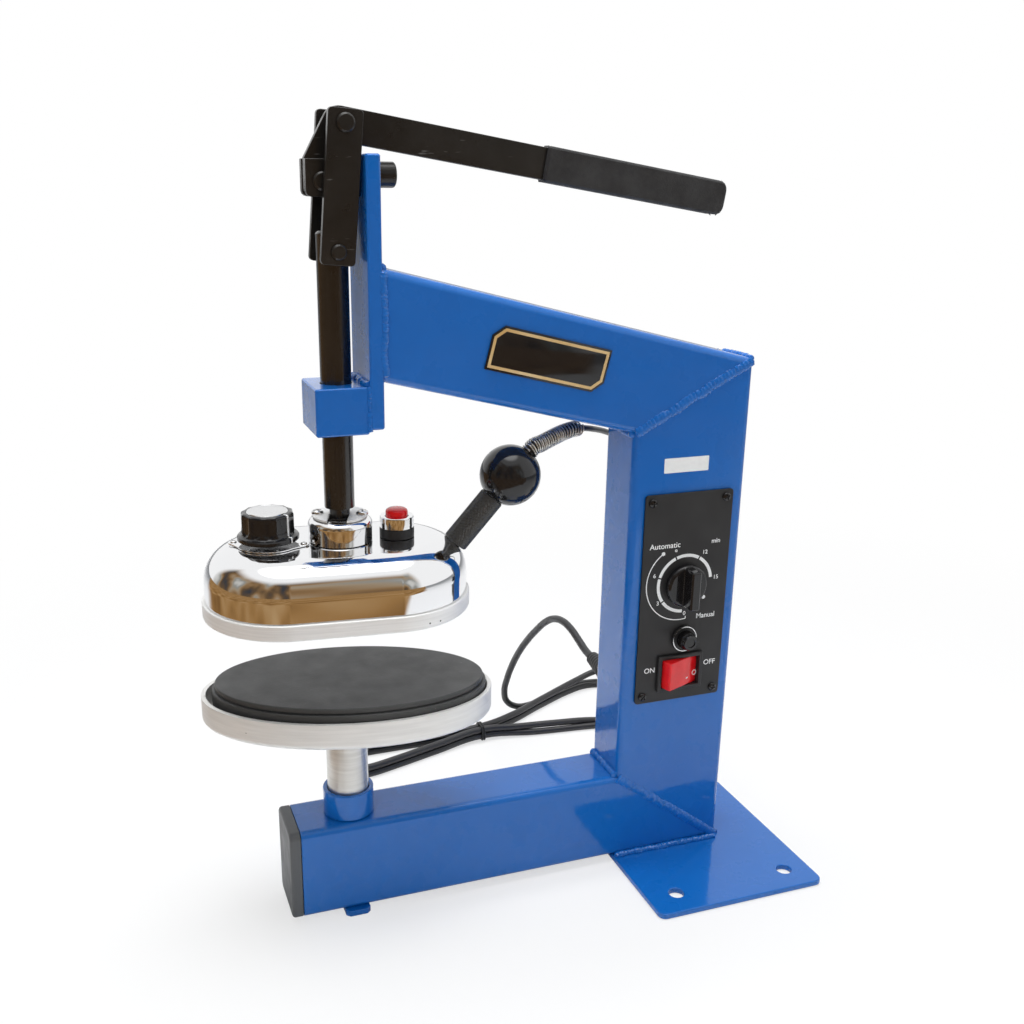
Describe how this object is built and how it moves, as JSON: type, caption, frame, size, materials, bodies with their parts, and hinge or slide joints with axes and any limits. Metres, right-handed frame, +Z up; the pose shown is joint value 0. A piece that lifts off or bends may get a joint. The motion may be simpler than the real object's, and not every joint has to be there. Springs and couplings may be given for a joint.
{
  "type": "bench tyre vulcaniser",
  "caption": "Bench vulcaniser for tyre and tube repairs: a hand lever presses a swivelling heated head onto an oval padded platen; welded box-tube C frame with timer, fuse and rocker switch.",
  "frame": {"origin": "on the floor, at the underside of the base plate, under the middle of the post", "axes": "+Z up; +X from the platen to the post; +Y to the back, away from the control panel"},
  "size_m": [0.449, 0.3425, 0.4811],
  "materials": {
    "blue_enamel": "glossy blue enamel over welded steel",
    "black_steel": "satin black",
    "chrome": "mirror plated",
    "cast_aluminium": "brushed casting",
    "bright_steel": "bright turned steel",
    "black_rubber": "matt sheet rubber",
    "grip_rubber": "matt grained sleeve",
    "gloss_black_plastic": "glossy moulding",
    "matt_black_plastic": "matt moulding",
    "red_plastic": "translucent red moulding",
    "cord_sheath": "semi-gloss sheath",
    "white_ceramic": "pale insulated element"
  },
  "bodies": {
    "frame": {"lower_beam": "blue_enamel", "post": "blue_enamel", "upper_arm": "blue_enamel", "base_plate": "blue_enamel", "front_foot": "blue_enamel", "front_plate": "blue_enamel", "guide_block": "blue_enamel", "platen_collar": "blue_enamel", "beam_end_cap": "matt_black_plastic", "pivot_bracket": "black_steel", "bracket_bolt": "black_steel", "bracket_pivot_pin": "black_steel", "head_cable": "cord_sheath", "head_cable_gland": "matt_black_plastic", "control_panel": "matt_black_plastic", "panel_screw_top_left": "matt_black_plastic", "panel_screw_top_right": "matt_black_plastic", "panel_screw_low_left": "matt_black_plastic", "panel_screw_low_right": "matt_black_plastic", "timer_body": "bright_steel", "fuse_holder": "matt_black_plastic", "rocker_bezel": "matt_black_plastic", "nameplate": "gloss_black_plastic", "mains_gland": "matt_black_plastic", "mains_lead": "cord_sheath", "mains_hank": "cord_sheath", "mains_plug": "gloss_black_plastic"},
    "ram": {"press_rod": "black_steel"},
    "lever": {"press_lever": "black_steel", "lever_grip": "grip_rubber", "lever_pin": "black_steel"},
    "links": {"link_front": "black_steel", "link_back": "black_steel", "link_rivet_front": "black_steel", "link_rivet_back": "black_steel", "rod_pin": "black_steel"},
    "head": {"heater_housing": "chrome", "heating_plate": "cast_aluminium", "heating_element": "white_ceramic", "thermostat_body": "bright_steel", "swivel_cup": "chrome", "cup_retainer_front": "bright_steel", "cup_retainer_back": "bright_steel", "dial_plate": "chrome", "button_ring": "matt_black_plastic", "button_bezel": "chrome", "button_switch": "matt_black_plastic", "ball_knob": "gloss_black_plastic", "handle_sleeve": "matt_black_plastic", "handle_stud": "black_steel", "spring_guard": "bright_steel"},
    "thermostat": {"thermostat_knob": "gloss_black_plastic", "knob_cap": "cast_aluminium"},
    "button": {"push_button": "red_plastic"},
    "platen": {"platen_tray": "cast_aluminium", "platen_pad": "black_rubber", "platen_stem": "bright_steel"},
    "timer": {"timer_knob": "gloss_black_plastic"},
    "fuse": {"fuse_cap": "gloss_black_plastic"},
    "switch": {"rocker": "red_plastic"}
  },
  "joints": [
    {"name": "press_stroke", "type": "slide", "parent": "frame", "child": "ram", "axis": [0, 0, -1], "range_m": [0, 0.0458], "deforming": ["head_cable"]},
    {"name": "lever_swing", "type": "hinge", "parent": "frame", "child": "lever", "pos_m": [-0.2242, 0, 0.4435], "axis": [0, -1, 0], "range_deg": [0, 160]},
    {"name": "link_tilt", "type": "hinge", "parent": "ram", "child": "links", "pos_m": [-0.2184, 0, 0.4078], "axis": [0, -1, 0], "range_deg": [0, 30]},
    {"name": "head_swivel", "type": "hinge", "parent": "ram", "child": "head", "pos_m": [-0.2184, 0, 0.2435], "axis": [0, 0, 1], "range_deg": [-45, 45]},
    {"name": "thermostat_turn", "type": "hinge", "parent": "head", "child": "thermostat", "pos_m": [-0.2597, 0.0041, 0.25], "axis": [0, 0, 1], "range_deg": [-150, 120]},
    {"name": "button_press", "type": "slide", "parent": "head", "child": "button", "axis": [0, 0, -1], "range_m": [0, 0.003], "stiffness_N_per_m": 400},
    {"name": "platen_swivel", "type": "hinge", "parent": "frame", "child": "platen", "pos_m": [-0.2184, 0, 0.1], "axis": [0, 0, 1], "continuous": true},
    {"name": "timer_turn", "type": "hinge", "parent": "frame", "child": "timer", "pos_m": [0, -0.025, 0.198], "axis": [0, 1, 0], "range_deg": [0, 270]},
    {"name": "fuse_cap_turn", "type": "hinge", "parent": "frame", "child": "fuse", "pos_m": [0.0016, -0.025, 0.1609], "axis": [0, 1, 0], "range_deg": [0, 90]},
    {"name": "rocker_tilt", "type": "hinge", "parent": "frame", "child": "switch", "pos_m": [0, -0.0213, 0.1375], "axis": [0, 0, 1], "range_deg": [-32, 0]}
  ],
  "couplings": [
    {"joint": "lever_swing", "follows": "press_stroke", "rad_per_m": 60.97},
    {"joint": "link_tilt", "follows": "press_stroke", "rad_per_m": 11.43}
  ]
}
